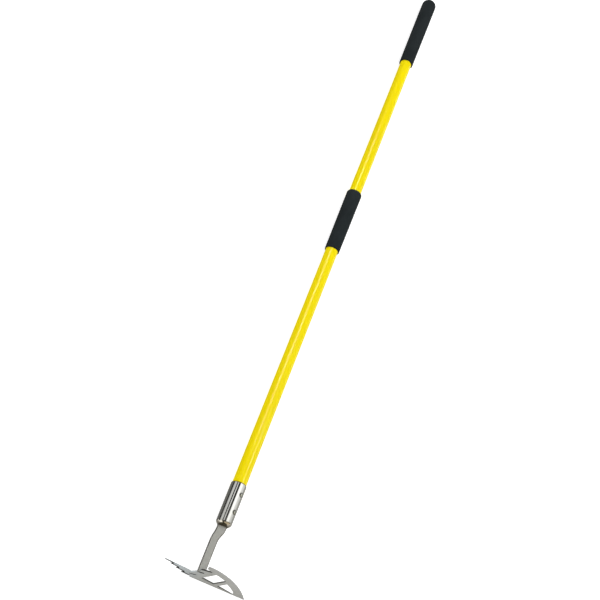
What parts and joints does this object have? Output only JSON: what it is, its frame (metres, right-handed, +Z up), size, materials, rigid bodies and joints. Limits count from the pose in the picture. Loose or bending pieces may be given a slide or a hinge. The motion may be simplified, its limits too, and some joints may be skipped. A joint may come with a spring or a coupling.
{
  "type": "garden hoe",
  "caption": "Long-handled weeding hoe with a slotted, saw-toothed steel blade, a riveted steel socket and foam grips on a yellow tube.",
  "frame": {"origin": "on the ground, under the middle of the hoe's bounding box", "axes": "+Y along the handle towards the end grip, +Z up, +X towards the blade's slotted wing"},
  "size_m": [0.1498, 1.4586, 0.0454],
  "materials": {
    "yellow_fibreglass": "glossy yellow fibreglass",
    "black_foam": "matte closed-cell foam",
    "polished_steel": "polished steel",
    "satin_steel": "satin steel",
    "pale_wood": "plain wood",
    "black_plastic": "matte"
  },
  "bodies": {
    "root": {"socket": "polished_steel", "handle_tube": "yellow_fibreglass", "socket_dowel": "pale_wood", "lower_rivet": "polished_steel", "upper_rivet": "polished_steel", "mid_grip": "black_foam", "end_grip": "black_foam", "tube_top_plug": "black_plastic", "neck": "satin_steel", "socket_weld": "satin_steel", "blade_weld": "satin_steel", "blade": "satin_steel"}
  },
  "joints": []
}
